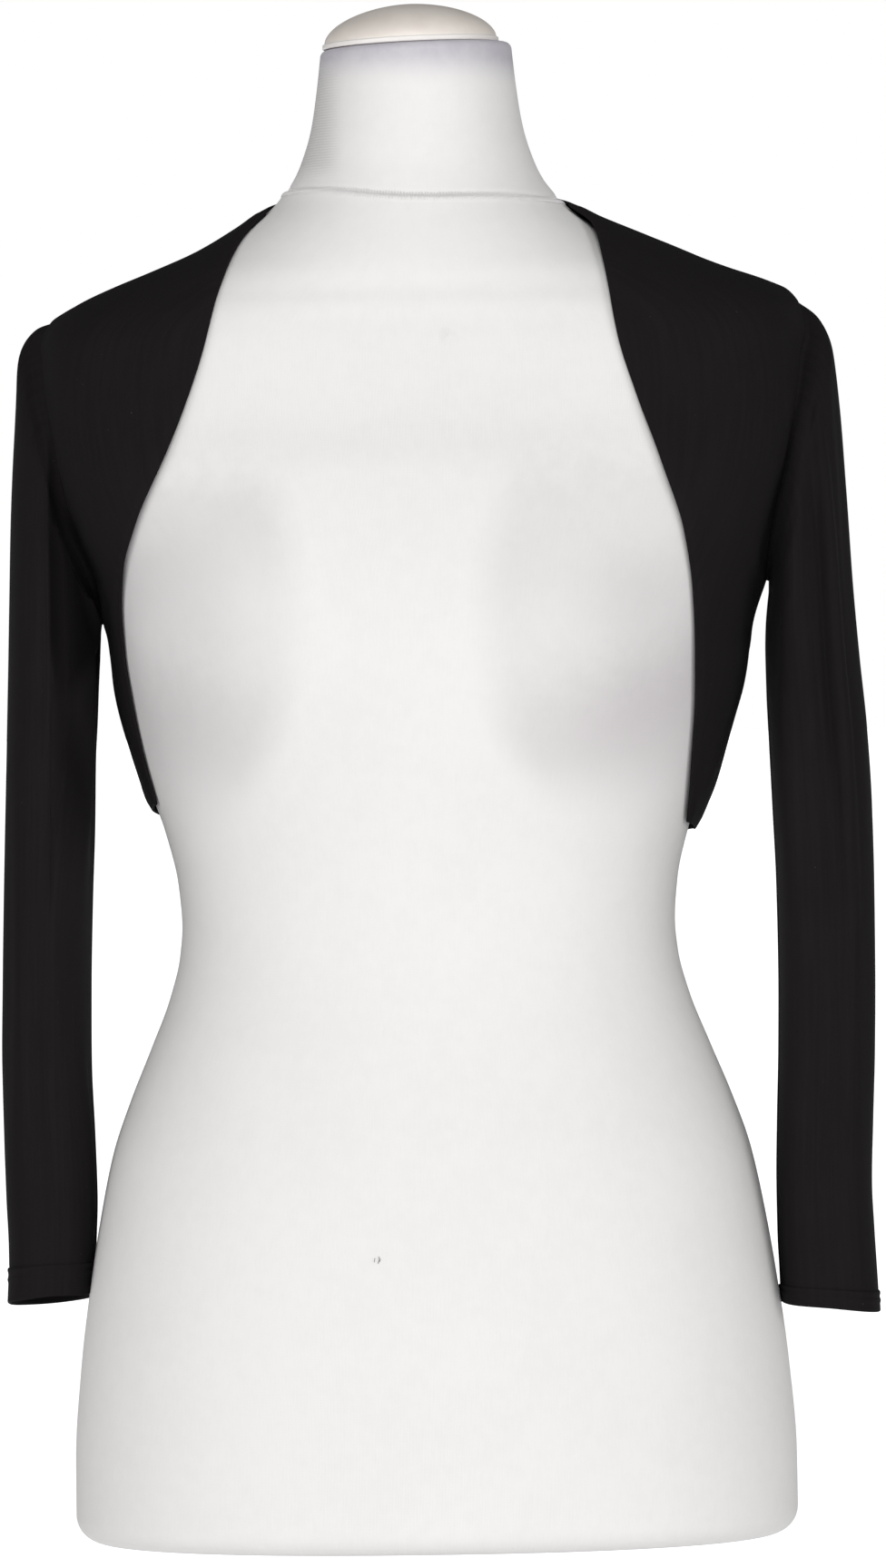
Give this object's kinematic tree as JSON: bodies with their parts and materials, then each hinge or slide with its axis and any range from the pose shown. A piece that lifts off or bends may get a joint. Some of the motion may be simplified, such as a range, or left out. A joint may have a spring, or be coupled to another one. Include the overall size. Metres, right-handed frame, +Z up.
{
  "type": "bolero cardigan on a limbless dress form",
  "caption": "Short open black jersey bolero cardigan with three-quarter sleeves, worn by a white limbless dress form with a neck and a domed neck cap.",
  "frame": {"origin": "centre line of the dress form, on its flat underside", "axes": "+Z up along the form, -Y the way the form's front faces, +X the wearer's left"},
  "size_m": [0.4257, 0.2401, 0.7477],
  "materials": {
    "dress_form": "taut off-white stretch jersey cover, matt",
    "neck_cap": "cream moulded plastic, satin",
    "jersey": "black fine-gauge jersey, matt with a faint sheen"
  },
  "bodies": {
    "root": {"dress_form": "dress_form", "neck_cap": "neck_cap", "back": "jersey", "front_left": "jersey", "front_right": "jersey", "sleeve_left": "jersey", "sleeve_right": "jersey"}
  },
  "joints": []
}
